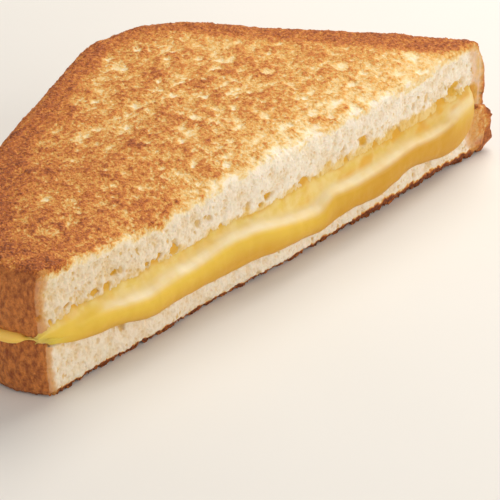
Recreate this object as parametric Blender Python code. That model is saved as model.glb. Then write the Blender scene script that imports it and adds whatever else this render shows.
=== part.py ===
"""Half of a grilled cheese sandwich, cut corner to shoulder across a loaf slice.

Two toasted bread slices hold one layer of melted cheese. The cut face looks along -Y and the
half rests on the toasted underside of its lower slice. Metres, +Z up.
"""

import math

import bmesh
import bpy
from mathutils import Vector
from mathutils.geometry import intersect_point_line

# The loaf slice seen square on: u runs across it from the heel side, v runs up from its base.
LOAF_WIDTH = 0.1170
CUT_END_HEIGHT = 0.0813      # how far up the far side the knife comes out
HEEL_RADIUS = 0.0008         # the tip the knife leaves at the base corner
SHOULDER_HEIGHT = 0.0914     # where the near side and the top would meet if they were not rounded
SHOULDER_RADIUS = 0.0266
CROWN_U = 0.0775             # the highest place of the top
CROWN_HEIGHT = 0.1046
CROWN_RADIUS = 0.0950
FAR_SHOULDER_HEIGHT = 0.0960
FAR_SHOULDER_RADIUS = 0.0140

# Heights of the layers from the board up.
LOWER_THICKNESS = 0.0116
CHEESE_THICKNESS = 0.0052
UPPER_THICKNESS = 0.0152
LAYER_GAP = 0.0003

# How the press and the knife shape the bread.
CRIMP = 0.0012               # how far each slice bends towards the other at the crust
HEEL_CRIMP_SHARE = 0.3       # how much of that is left at the heel end
CRIMP_REACH = 0.0115         # how far in from the crust that bend reaches
LOWER_SLIP = 0.0018          # how far the lower slice lies towards the heel end
LOWER_TIP_FLARE = 0.0014     # how far the lower slice's heel tip is squeezed out beyond that
TIP_FLARE_REACH = 0.016      # the length of tip that takes part
CRUST_BELLY = 0.0005         # how far the middle of the crust stands out
TOAST_EDGE_INSET = 0.0030    # width of the rounding where toast turns into crust
TOAST_EDGE_DROP = 0.0021     # its depth
LOWER_EDGE_SHARE = 0.55      # the lower slice's toast edge is this much as round
CRUMB_EDGE_INSET = 0.0008    # the same on the cheese side
CRUMB_EDGE_DROP = 0.0007
CUT_EDGE_SHARE = 0.22        # the knife's edges keep this share of those widths
CUT_SAG = 0.0021             # how far the knife presses the top toast down mid-cut
CUT_SAG_EXTRA = 0.0020       # and how much more nearer the shoulder end
CUT_SAG_REACH = 0.020        # how far from the cut the sag reaches
CUT_WAVE = 0.0005            # sideways wander of the cut face
CUT_WAVE_LENGTHS = (0.087, 0.037)
CRUST_WANDER = 0.00012       # the same of the crust
CRUST_WANDER_LENGTH = 0.048
TOAST_SWELL = 0.0005         # gentle unevenness of the top toast
TOAST_SWELL_LENGTHS = (0.066, 0.052)

# The melted cheese where it leaves the layers.
LIP_CLEARANCE = 0.0004       # between the cut face and the cheese in front of it
LIP_DEPTH = 0.0037           # how far it bulges out of the cut
LIP_START_DEPTH = 0.0004     # and how far at its two ends
LIP_DROOP = 0.0030           # how far it hangs over the lower slice
LIP_RISE = 0.0023            # how far its film is drawn up over the upper slice
LIP_FILM = 0.0003            # thickness of that film's edge
LIP_START = 0.0240           # length over which the lip grows from the shoulder end
FILM_FADE_START = -0.006     # the film thins out from here
FILM_FADE_REACH = 0.034      # over this length
FILM_LEFT_SHARE = 0.15       # to this share
LIP_END = 0.0120             # and the same at the heel end
LIP_ROLL = 0.12              # share by which the lip's depth comes and goes
LIP_ROLL_LENGTH = 0.101
DROOP_ROLL = 0.22            # the same for how far it hangs
DROOP_ROLL_LENGTH = 0.121
FILM_ROLL = 0.16             # and for the film's edge
FILM_ROLL_LENGTH = 0.033
BEAD_DEPTH = 0.0007          # the bead that shows between the crusts
RIM_WIDTH = 0.0018           # edge of the layer that stays under the bread

POINT_SPACING = 0.0032       # distance between points round the outline
TOAST_CAP_SHARES = (0.05, 0.13, 0.26, 0.46, 0.72)
CRUMB_CAP_SHARES = (0.06, 0.13, 0.23)
HALF_CUT = 0.5 * math.hypot(LOAF_WIDTH, CUT_END_HEIGHT)


def smooth(t):
    """0 to 1 with level ends, for t from 0 to 1."""
    t = min(1.0, max(0.0, t))
    return t * t * (3.0 - 2.0 * t)


def ripple(place, length, phase):
    """Sine of the given wavelength."""
    return math.sin(2.0 * math.pi * place / length + phase)


def rounded_corner(before, corner, after, radius, steps):
    """Points of the arc that rounds the corner between two straight sides."""
    back = (before - corner).normalized()
    ahead = (after - corner).normalized()
    half = 0.5 * back.angle(ahead)
    middle = corner + (back + ahead).normalized() * (radius / math.sin(half))
    start = corner + back * (radius / math.tan(half)) - middle
    end = corner + ahead * (radius / math.tan(half)) - middle
    turn = start.angle_signed(end)
    points = []
    for i in range(steps + 1):
        angle = -turn * i / steps
        c, s = math.cos(angle), math.sin(angle)
        points.append(middle + Vector((c * start.x - s * start.y, s * start.x + c * start.y)))
    return points


def half_slice_crust():
    """The crust in loaf coordinates, from the heel end of the cut round to its far end."""
    heel = Vector((0.0, 0.0))
    shoulder = Vector((0.0, SHOULDER_HEIGHT))
    crown = Vector((CROWN_U, CROWN_HEIGHT))
    far_shoulder = Vector((LOAF_WIDTH, FAR_SHOULDER_HEIGHT))
    cut_end = Vector((LOAF_WIDTH, CUT_END_HEIGHT))
    points = rounded_corner(cut_end, heel, shoulder, HEEL_RADIUS, 6)
    points += rounded_corner(heel, shoulder, crown, SHOULDER_RADIUS, 24)
    points += rounded_corner(shoulder, crown, far_shoulder, CROWN_RADIUS, 12)
    points += rounded_corner(crown, far_shoulder, cut_end, FAR_SHOULDER_RADIUS, 20)
    points.append(cut_end)
    return points


def to_plan(points):
    """Turns loaf coordinates so that the cut runs along X, heel end at +X, with the bread at +Y."""
    turn = math.atan2(CUT_END_HEIGHT, LOAF_WIDTH)
    across = Vector((-math.cos(turn), -math.sin(turn)))
    up = Vector((-math.sin(turn), math.cos(turn)))
    return [Vector((HALF_CUT, 0.0)) + across * p.x + up * p.y for p in points]


def even_spacing(points, spacing):
    """The same open line with points about spacing apart, its two ends kept."""
    lengths = [(b - a).length for a, b in zip(points, points[1:])]
    count = max(2, round(sum(lengths) / spacing))
    step = sum(lengths) / count
    result = [points[0]]
    travelled = 0.0
    wanted = step
    for a, b, length in zip(points, points[1:], lengths):
        while len(result) < count and wanted <= travelled + length:
            result.append(a.lerp(b, (wanted - travelled) / length))
            wanted += step
        travelled += length
    result.append(points[-1])
    return result


class Outline:
    """The half seen from above, counter-clockwise: crust from the heel end, then the cut back."""

    def __init__(self, slip, flare, wander_phase):
        crust = even_spacing(to_plan(half_slice_crust()), POINT_SPACING)
        cut = even_spacing([crust[-1], crust[0]], POINT_SPACING)
        self.crust = [self.wandered(p, wander_phase) for p in crust]
        self.points = []
        for p in self.crust + cut[1:-1]:
            tip_share = smooth(1.0 - (HALF_CUT - p.x) / TIP_FLARE_REACH)
            self.points.append(p + Vector((slip + flare * tip_share, 0.0)))
        self.on_cut = [0.0] * len(crust) + [1.0] * (len(cut) - 2)
        self.on_cut[0] = self.on_cut[len(crust) - 1] = 0.6
        self.centre = sum(self.points, Vector((0.0, 0.0))) / len(self.points)

    def wandered(self, point, phase):
        """A crust point moved a little, and not at all at the cut."""
        amount = CRUST_WANDER * smooth(point.y / TOAST_EDGE_INSET)
        offset = amount * ripple(point.x + point.y, CRUST_WANDER_LENGTH, phase)
        return point + point.normalized() * offset

    def normals(self):
        """Unit normals that point away from the bread."""
        count = len(self.points)
        result = []
        for i in range(count):
            along = self.points[(i + 1) % count] - self.points[i - 1]
            result.append(Vector((along.y, -along.x)).normalized())
        return result

    def distance_to_crust(self, point):
        """Plan distance from a point to the crust line."""
        nearest = 1.0
        for a, b in zip(self.crust, self.crust[1:]):
            place, share = intersect_point_line(point, a, b)
            place = a.lerp(b, min(1.0, max(0.0, share)))
            nearest = min(nearest, (place - point).length)
        return nearest

    def crimp(self, x, y):
        """How far the slices bend towards each other at (x, y), less at the heel end."""
        amount = CRIMP * (1.0 - (1.0 - HEEL_CRIMP_SHARE) * smooth(x / HALF_CUT))
        return amount * (1.0 - smooth(self.distance_to_crust(Vector((x, y))) / CRIMP_REACH))


def cut_wave(x):
    """How far the cut face stands forward at x."""
    long_wave, short_wave = CUT_WAVE_LENGTHS
    return CUT_WAVE * (0.6 * ripple(x, long_wave, 0.5) + 0.4 * ripple(x, short_wave, 2.0))


def toast_sag(x, y):
    """How far the top toast lies under its nominal height at (x, y)."""
    middle = max(0.0, 1.0 - (x / HALF_CUT) ** 2)
    extra = CUT_SAG_EXTRA * smooth(1.0 - abs(x + 0.5 * HALF_CUT) / (0.5 * HALF_CUT))
    sag = (CUT_SAG * middle + extra) * (1.0 - smooth(y / CUT_SAG_REACH))
    across, back = TOAST_SWELL_LENGTHS
    swell = 0.5 * TOAST_SWELL * (1.0 + ripple(x, across, 1.0) * ripple(y, back, 0.4))
    return sag + swell


def lip_size(x):
    """(depth, droop, rise) of the cheese lip at x along the cut."""
    grown = smooth((x + HALF_CUT) / LIP_START) * smooth((HALF_CUT - x) / LIP_END)
    roll = 1.0 + LIP_ROLL * ripple(x, LIP_ROLL_LENGTH, 0.6)
    depth = LIP_START_DEPTH + (LIP_DEPTH - LIP_START_DEPTH) * grown * roll
    droop = LIP_DROOP * grown * (1.0 + DROOP_ROLL * ripple(x, DROOP_ROLL_LENGTH, 3.4))
    film = 1.0 - (1.0 - FILM_LEFT_SHARE) * smooth((x - FILM_FADE_START) / FILM_FADE_REACH)
    rise = LIP_RISE * grown * film * (1.0 + FILM_ROLL * ripple(x, FILM_ROLL_LENGTH, 1.0))
    return depth, droop, rise


class RingMesh:
    """A closed body made of rings of equal count, one above another, closed at both ends."""

    def __init__(self, name):
        self.name = name
        self.mesh = bmesh.new()
        self.rings = []

    def add_ring(self, points):
        ring = [self.mesh.verts.new(p) for p in points]
        if self.rings:
            low = self.rings[-1]
            for i in range(len(ring)):
                j = (i + 1) % len(ring)
                self.mesh.faces.new((low[i], low[j], ring[j], ring[i]))
        self.rings.append(ring)

    def close_flat(self):
        """Closes the first ring with one flat face."""
        self.mesh.faces.new(reversed(self.rings[0]))

    def close_point(self, ring, point):
        tip = self.mesh.verts.new(point)
        for i, vert in enumerate(ring):
            self.mesh.faces.new((vert, ring[(i + 1) % len(ring)], tip))

    def finish(self, material):
        bmesh.ops.recalc_face_normals(self.mesh, faces=self.mesh.faces)
        data = bpy.data.meshes.new(self.name)
        self.mesh.to_mesh(data)
        self.mesh.free()
        data.materials.append(material)
        data.shade_smooth()
        data.set_sharp_from_angle(angle=math.radians(40.0))
        body = bpy.data.objects.new(self.name, data)
        bpy.context.scene.collection.objects.link(body)
        return body


def inset_ring(outline, inset, height):
    """The outline pulled in by inset on the crust and by little on the cut, at height(x, y)."""
    ring = []
    for point, on_cut in zip(outline.points, outline.on_cut):
        share = 1.0 + (CUT_EDGE_SHARE - 1.0) * on_cut
        moved = point + (outline.centre - point).normalized() * (inset * share)
        moved.y -= cut_wave(point.x) * on_cut
        ring.append((moved.x, moved.y, height(moved.x, moved.y)))
    return ring


def cap_rings(rim, shares, centre, height):
    """Rings that carry the rim in towards the centre by shares of the way, at height(x, y)."""
    rings = []
    for share in shares:
        plan = [Vector(p[:2]).lerp(centre, share) for p in rim]
        rings.append([(p.x, p.y, height(p.x, p.y)) for p in plan])
    return rings


def crust_wall(outline, crumb_height, toast_height, step, edge_share):
    """Rings from a slice's crumb side to its toasted side; step is +1 going up, -1 going down."""

    def between(share, offset):
        def height(x, y):
            low = crumb_height(x, y)
            return low + (toast_height(x, y) - low) * share + step * offset

        return height

    width = TOAST_EDGE_INSET * edge_share
    drop = TOAST_EDGE_DROP * edge_share
    belly = CRUST_BELLY * edge_share
    return [
        inset_ring(outline, CRUMB_EDGE_INSET, between(0.0, 0.0)),
        inset_ring(outline, CRUMB_EDGE_INSET * 0.2, between(0.0, CRUMB_EDGE_DROP)),
        inset_ring(outline, 0.0, between(0.40, 0.0)),
        inset_ring(outline, 0.0, between(0.64, 0.0)),
        inset_ring(outline, belly + width * 0.06, between(1.0, -drop)),
        inset_ring(outline, belly + width * 0.34, between(1.0, -drop * 0.34)),
        inset_ring(outline, belly + width, between(1.0, 0.0)),
    ]


def upper_slice(outline, crimp, base, material):
    """The slice on top: crimped crumb side down, sagging toast up."""
    body = RingMesh("upper_bread_slice")

    def crumb_height(x, y):
        return base - crimp(x, y)

    def toast_height(x, y):
        return base + UPPER_THICKNESS - toast_sag(x, y)

    wall = crust_wall(outline, crumb_height, toast_height, 1.0, 1.0)
    centre = outline.centre
    for ring in reversed(cap_rings(wall[0], CRUMB_CAP_SHARES, centre, crumb_height)):
        body.add_ring(ring)
    for ring in wall + cap_rings(wall[-1], TOAST_CAP_SHARES, centre, toast_height):
        body.add_ring(ring)
    body.close_point(body.rings[0], (centre.x, centre.y, crumb_height(centre.x, centre.y)))
    body.close_point(body.rings[-1], (centre.x, centre.y, toast_height(centre.x, centre.y)))
    return body.finish(material)


def lower_slice(outline, crimp, material):
    """The slice underneath: flat toast down, crimped crumb side up."""
    body = RingMesh("lower_bread_slice")

    def crumb_height(x, y):
        return LOWER_THICKNESS + crimp(x, y)

    def toast_height(x, y):
        return 0.0

    wall = crust_wall(outline, crumb_height, toast_height, -1.0, LOWER_EDGE_SHARE)
    centre = outline.centre
    for ring in list(reversed(wall)) + cap_rings(wall[0], CRUMB_CAP_SHARES, centre, crumb_height):
        body.add_ring(ring)
    body.close_flat()
    body.close_point(body.rings[-1], (centre.x, centre.y, crumb_height(centre.x, centre.y)))
    return body.finish(material)


def cheese_edge(x, on_cut, crimp):
    """[(outward, height)] up the cheese's edge at one outline point, heights over its underside."""
    depth, droop, rise = lip_size(x)
    low = crimp
    high = CHEESE_THICKNESS - crimp
    tall = high - low
    bead = [
        (-RIM_WIDTH, low),
        (-RIM_WIDTH * 0.8, low),
        (-RIM_WIDTH * 0.6, low),
        (BEAD_DEPTH * 0.6, low + tall * 0.12),
        (BEAD_DEPTH * 0.9, low + tall * 0.34),
        (BEAD_DEPTH, low + tall * 0.55),
        (BEAD_DEPTH * 0.85, low + tall * 0.75),
        (BEAD_DEPTH * 0.5, low + tall * 0.90),
        (-RIM_WIDTH * 0.6, high),
        (-RIM_WIDTH * 0.8, high),
        (-RIM_WIDTH, high),
    ]
    front = LIP_CLEARANCE
    lip = [
        (-RIM_WIDTH, low),
        (front, low),
        (front, low - droop * 0.72),                # back of the hanging edge
        (front + depth * 0.42, low - droop),        # its lowest place
        (front + depth * 0.86, low - droop * 0.45),
        (front + depth, low + tall * 0.34 - droop * 0.15),
        (front + depth * 0.80, low + tall * 0.80),  # where the bulge turns back
        (front + depth * 0.28, high + rise * 0.35),
        (front + LIP_FILM, high + rise),            # edge of the film on the upper slice
        (front, high),
        (-RIM_WIDTH, high),
    ]
    return [
        (b[0] + (l[0] - b[0]) * on_cut, b[1] + (l[1] - b[1]) * on_cut) for b, l in zip(bead, lip)
    ]


def cheese_layer(outline, crimp, base, material):
    """The melted slice: thinner at the crust, a bead along the crusts, a lip along the cut."""
    body = RingMesh("melted_cheese")
    centre = outline.centre

    def underside(x, y):
        return base + crimp(x, y)

    def top(x, y):
        return base + CHEESE_THICKNESS - crimp(x, y)

    edges = [
        cheese_edge(p.x, on_cut, crimp(p.x, p.y)) for p, on_cut in zip(outline.points, outline.on_cut)
    ]
    wall = []
    for level in range(len(edges[0])):
        ring = []
        for point, on_cut, normal, edge in zip(outline.points, outline.on_cut, outline.normals(), edges):
            outward, height = edge[level]
            moved = point + normal * outward
            moved.y -= cut_wave(point.x) * on_cut
            ring.append((moved.x, moved.y, base + height))
        wall.append(ring)
    for ring in reversed(cap_rings(wall[0], CRUMB_CAP_SHARES, centre, underside)):
        body.add_ring(ring)
    for ring in wall + cap_rings(wall[-1], CRUMB_CAP_SHARES, centre, top):
        body.add_ring(ring)
    body.close_point(body.rings[0], (centre.x, centre.y, underside(centre.x, centre.y)))
    body.close_point(body.rings[-1], (centre.x, centre.y, top(centre.x, centre.y)))
    return body.finish(material)


def food_material(name, colour, roughness):
    """A Principled material with a plain colour."""
    material = bpy.data.materials.new(name)
    material.use_nodes = True
    shader = material.node_tree.nodes["Principled BSDF"]
    shader.inputs["Base Color"].default_value = (*colour, 1.0)
    shader.inputs["Roughness"].default_value = roughness
    shader.inputs["Metallic"].default_value = 0.0
    return material


def centre_on_origin(bodies):
    """Moves the finished bodies so that the middle of their base is the origin."""
    corners = [v.co for body in bodies for v in body.data.vertices]
    low = [min(c[i] for c in corners) for i in range(3)]
    high = [max(c[i] for c in corners) for i in range(3)]
    shift = Vector((-(low[0] + high[0]) / 2.0, -(low[1] + high[1]) / 2.0, -low[2]))
    for body in bodies:
        body.location = shift


def main():
    for old in list(bpy.data.objects):
        bpy.data.objects.remove(old)
    toast = food_material("toasted_bread", (0.62, 0.30, 0.09), 0.7)
    cheese = food_material("melted_cheese", (0.80, 0.50, 0.10), 0.3)
    upper_outline = Outline(-0.5 * LOWER_SLIP, 0.0, 0.0)
    middle_outline = Outline(0.0, 0.0, 1.2)
    lower_outline = Outline(0.5 * LOWER_SLIP, LOWER_TIP_FLARE, 2.4)
    crimp = middle_outline.crimp
    cheese_base = LOWER_THICKNESS + LAYER_GAP
    upper_base = cheese_base + CHEESE_THICKNESS + LAYER_GAP
    bodies = [
        lower_slice(lower_outline, crimp, toast),
        cheese_layer(middle_outline, crimp, cheese_base, cheese),
        upper_slice(upper_outline, crimp, upper_base, toast),
    ]
    centre_on_origin(bodies)


main()
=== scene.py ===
import math
import random
import bmesh
import bpy
import numpy as np
from mathutils import Euler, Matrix, Quaternion, Vector, kdtree, noise


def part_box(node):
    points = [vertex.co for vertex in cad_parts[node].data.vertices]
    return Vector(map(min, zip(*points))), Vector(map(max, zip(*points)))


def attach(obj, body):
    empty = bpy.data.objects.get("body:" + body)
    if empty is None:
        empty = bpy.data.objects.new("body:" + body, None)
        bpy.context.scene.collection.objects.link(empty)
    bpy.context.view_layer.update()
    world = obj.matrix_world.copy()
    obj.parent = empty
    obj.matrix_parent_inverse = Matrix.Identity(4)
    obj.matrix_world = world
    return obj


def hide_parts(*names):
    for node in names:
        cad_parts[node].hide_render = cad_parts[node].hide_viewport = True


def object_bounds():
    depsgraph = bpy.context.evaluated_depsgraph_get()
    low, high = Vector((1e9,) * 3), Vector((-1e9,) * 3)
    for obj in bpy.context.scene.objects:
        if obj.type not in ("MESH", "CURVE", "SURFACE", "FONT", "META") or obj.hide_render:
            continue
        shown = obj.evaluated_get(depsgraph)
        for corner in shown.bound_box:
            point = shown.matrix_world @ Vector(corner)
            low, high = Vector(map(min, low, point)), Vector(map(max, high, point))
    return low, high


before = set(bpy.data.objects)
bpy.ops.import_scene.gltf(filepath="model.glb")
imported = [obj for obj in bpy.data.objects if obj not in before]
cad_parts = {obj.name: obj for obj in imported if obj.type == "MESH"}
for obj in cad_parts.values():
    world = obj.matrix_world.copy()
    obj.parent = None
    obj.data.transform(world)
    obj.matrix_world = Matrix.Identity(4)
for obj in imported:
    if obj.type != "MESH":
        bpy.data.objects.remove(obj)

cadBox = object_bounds()
mm = 0.001
print("frame loaded, box in mm:", [[round(v / mm, 1) for v in corner] for corner in cadBox])


# small helpers

patchShift = 7.31   # how far apart two seeds read the noise, in patches
cellShift = 3.77    # the same for the cells
lotShift = 17.0     # between the random values of two cells


def linearColour(code):
    parts = [int(code[i:i + 2], 16) / 255 for i in (0, 2, 4)]
    return [p / 12.92 if p <= 0.04045 else ((p + 0.055) / 1.055) ** 2.4 for p in parts] + [1.0]


def addNode(tree, kind, inputs=None, **settings):
    node = tree.nodes.new(kind)
    for name, value in settings.items():
        setattr(node, name, value)
    for name, value in (inputs or {}).items():
        if isinstance(value, bpy.types.NodeSocket):
            tree.links.new(value, node.inputs[name])
        else:
            node.inputs[name].default_value = value
    return node


def limit(values):
    return np.clip(values, 0.0, 1.0)


def smoothStep(low, high, values):
    share = limit((values - low) / (high - low))
    return share * share * (3.0 - 2.0 * share)


def fadeOut(low, high, values):
    return 1.0 - smoothStep(low, high, values)


def cloudNoise(points, size, seed, stretch=(1.0, 1.0, 1.0), octaves=3):
    # smooth random values, about -1 to 1, in patches of the given size
    scaled = points / (np.array(stretch) * size) + seed * patchShift
    return np.array([noise.fractal(p, 1.0, 2.0, octaves) for p in scaled.tolist()])


def cellNoise(points, size, seed):
    # distances to the middle of the nearest and second nearest cell, in cell sizes,
    # and a random value of the nearest cell
    scaled = points / size + seed * cellShift
    found = [noise.voronoi(p) for p in scaled.tolist()]
    nearest = np.array([away[0] for away, middles in found])
    second = np.array([away[1] for away, middles in found])
    lots = np.array([noise.cell(middles[0] * lotShift) for away, middles in found])
    return nearest, second, lots


def distanceTo(sources, targets):
    # from each target to the nearest source
    tree = kdtree.KDTree(len(sources))
    for number, place in enumerate(sources.tolist()):
        tree.insert(place, number)
    tree.balance()
    return np.array([tree.find(place)[2] for place in targets.tolist()])


def readVectors(mesh, what="co"):
    values = np.empty(len(mesh.vertices) * 3, np.float32)
    if what == "co":
        mesh.vertices.foreach_get("co", values)
    else:
        mesh.vertex_normals.foreach_get("vector", values)
    return values.reshape(-1, 3).astype(float)


def writeVectors(mesh, values):
    mesh.vertices.foreach_set("co", values.astype(np.float32).ravel())
    mesh.update()


def writeShare(mesh, name, values):
    layer = mesh.attributes.new(name, "FLOAT", "POINT")
    layer.data.foreach_set("value", values.astype(np.float32).ravel())


def applyModifiers(piece):
    depsgraph = bpy.context.evaluated_depsgraph_get()
    mesh = bpy.data.meshes.new_from_object(piece.evaluated_get(depsgraph))
    piece.modifiers.clear()
    piece.data = mesh


def copyOfNode(node, name):
    piece = bpy.data.objects.new(name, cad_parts[node].data.copy())
    bpy.context.scene.collection.objects.link(piece)
    piece.data.materials.clear()
    skin = bmesh.new()
    skin.from_mesh(piece.data)
    bmesh.ops.remove_doubles(skin, verts=skin.verts, dist=0.01 * mm)
    skin.to_mesh(piece.data)
    skin.free()
    return piece


def subdivideWhere(piece, chosen):
    # halves the edges between the chosen vertices
    skin = bmesh.new()
    skin.from_mesh(piece.data)
    skin.verts.ensure_lookup_table()
    edges = [e for e in skin.edges if chosen[e.verts[0].index] and chosen[e.verts[1].index]]
    bmesh.ops.subdivide_edges(skin, edges=edges, cuts=1, use_grid_fill=True)
    skin.to_mesh(piece.data)
    skin.free()


def smoothShade(piece):
    piece.data.polygons.foreach_set("use_smooth", [True] * len(piece.data.polygons))


# the crumb that the knife laid open

crumb = {
    "fibre": 0.55 * mm,
    "fibreDepth": 0.31 * mm,
    "tuft": 2.0 * mm,           # small bundles of fibres that stand out
    "tuftDepth": 0.36 * mm,
    "cavity": 0.8 * mm,
    "cavityDepth": 0.42 * mm,   # between the thin walls of the crumb
    "wave": 4.5 * mm,
    "waveDepth": 0.2 * mm,
    "upright": (1.0, 1.4, 1.0),     # everything in the crumb stands taller than wide
    "waveUpright": (1.0, 1.3, 1.0),
    "poreWide": (0.25 * mm, 0.50 * mm),
    "poreTall": (1.1, 1.9),     # times the width
    "poresPerSquare": 0.08,     # on a square millimetre of the cut
    "bigPores": 50,
    "bigPoreWide": (0.5 * mm, 1.05 * mm),
    "bigPoresLow": 0.7,         # this share of them keeps near the cheese
    "cheesePores": 18,          # wide hollows over the cheese, on the upper slice
    "cheesePoreWide": (1.1 * mm, 2.6 * mm),
    "cheesePoreTall": (0.6, 0.95),
    "narrowedLeft": 0.62,       # the same hollows left of -20 mm
    "deepest": 1.0 * mm,
    "lean": 0.25,
}


def crumbRelief(points, heights, seed, area, cheeseBelow):
    # how deep each point of the cut lies behind the knife's plane, how far it is in a pore,
    # and how much cheese has got into that pore
    x, y, z = points.T
    flat = np.column_stack([x, z, np.zeros(len(points))])
    wool = cloudNoise(flat, crumb["fibre"], seed + 2, crumb["upright"], 3)
    tufts = cloudNoise(flat, crumb["tuft"], seed + 1, crumb["upright"], 2)
    cavity = np.abs(cloudNoise(flat, crumb["cavity"], seed + 5, crumb["upright"], 2))
    broad = cloudNoise(flat, crumb["wave"], seed + 3, crumb["waveUpright"], 2)
    depth = crumb["cavityDepth"] * (cavity - 0.25) - crumb["fibreDepth"] * wool
    depth -= crumb["tuftDepth"] * tufts + crumb["waveDepth"] * broad
    low, top = heights(x)
    cheeseSide = (z - low) if cheeseBelow else (top - z)
    depth *= 0.45 + 0.55 * smoothStep(1.0 * mm, 3.5 * mm, cheeseSide)
    # partly painted shade: the hollows between the tufts and in the cavities, where the crumb lies deeper,
    # get a darker tone
    hollow = 0.3 * smoothStep(0.12, 0.5, cavity) * smoothStep(-0.6, 0.4, -tufts)
    hollow = limit(hollow + 0.24 * smoothStep(-0.1, 0.6, -tufts - 0.6 * broad))
    golden = np.zeros(len(points))

    order = np.argsort(x)
    sortedX = x[order]
    lot = random.Random(seed)
    wobble = 0.45 * cloudNoise(flat, crumb["cavity"], seed + 4)
    sizes = ["poreWide"] * int(area * crumb["poresPerSquare"]) + ["bigPoreWide"] * crumb["bigPores"]
    sizes += ["cheesePoreWide"] * (crumb["cheesePores"] if cheeseBelow else 0)
    for size in sizes:
        isBig = size != "poreWide"
        wide = lot.uniform(*crumb[size])
        high = wide * lot.uniform(*crumb["poreTall"])
        centreX = lot.uniform(x.min(), x.max())
        if size == "cheesePoreWide" and centreX < -20 * mm:
            wide *= crumb["narrowedLeft"]
        share = lot.random()    # of the height of the slice
        if isBig and lot.random() < crumb["bigPoresLow"]:
            share = share * 0.45 if cheeseBelow else 1.0 - share * 0.45
        if size == "cheesePoreWide":
            share = 0.15 + 0.24 * share
            high = wide * lot.uniform(*crumb["cheesePoreTall"])
        deep = min(wide, crumb["deepest"]) * (lot.uniform(0.7, 1.2) if isBig else lot.uniform(0.5, 0.9))
        deep *= 1.0 if cheeseBelow else 0.6
        lean = lot.uniform(-crumb["lean"], crumb["lean"])
        strength = lot.uniform(0.45, 1.0)
        first, last = np.searchsorted(sortedX, [centreX - 1.6 * wide, centreX + 1.6 * wide])
        near = order[first:last]
        if not len(near):
            continue
        low, top = heights(centreX)
        centreZ = low + (top - low) * share
        across = (x[near] - centreX - lean * (z[near] - centreZ)) / wide
        upward = (z[near] - centreZ) / high
        inside = limit(1.0 - (across ** 2 + upward ** 2) * (1.0 + wobble[near]))
        depth[near] += deep * strength * inside ** (0.6 if isBig else 1.2)
        # painted shade in the pore, strongest in its middle
        hollow[near] = np.maximum(hollow[near], strength * smoothStep(0.0, 0.8, inside))
        if size == "cheesePoreWide":
            golden[near] = np.maximum(golden[near], smoothStep(0.0, 0.75, inside))
    return depth, hollow, golden


# the toasted side

toast = {
    "grain": 0.85 * mm,         # cells of the crumb as the pan has browned them
    "grainDepth": 0.30 * mm,
    "bumps": 2.2 * mm,
    "bumpDepth": 0.22 * mm,
    "fine": 0.7 * mm,
    "fineDepth": 0.15 * mm,
    "wave": 9.0 * mm,
    "waveDepth": 0.30 * mm,
    "patches": 2.6 * mm,
    "spotSpacing": 3.0 * mm,    # of the pale spots that never touched the pan
    "blobSpacing": 8.0 * mm,    # of a few larger ones
    "spotDepth": 0.34 * mm,
    "browning": 0.37,           # in the middle, from 0 for crumb to 1 for the darkest
    "leftBrowner": 0.14,
    "cutPaler": 0.16,
    "rimBrowning": 0.71,        # of the darker rim along the crust
    "rimWide": 4.6 * mm,        # and as wide again where it fades
    "edgeHalf": 2.2 * mm,       # half the width over which the toast fades at the cut
    "edgeLeast": 0.14,
    "under": 0.98,              # browning of the lower slice, which shows only at its edge; kept near the darkest, partly as painted shade along that edge
}


def paleSpots(points, spacing, smallest, without, seed, bend=1.0):
    # round spots of many sizes and the ring around each, where some cells stay without one
    nearest, second, lots = cellNoise(points, spacing, seed)
    nearest = nearest * bend
    radius = smallest + 0.27 * lots
    spot = (lots > without) * fadeOut(0.70 * radius, 1.10 * radius, nearest)
    ring = (lots > without) * fadeOut(1.15 * radius, 1.60 * radius, nearest) - spot
    return spot, limit(ring)


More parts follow.
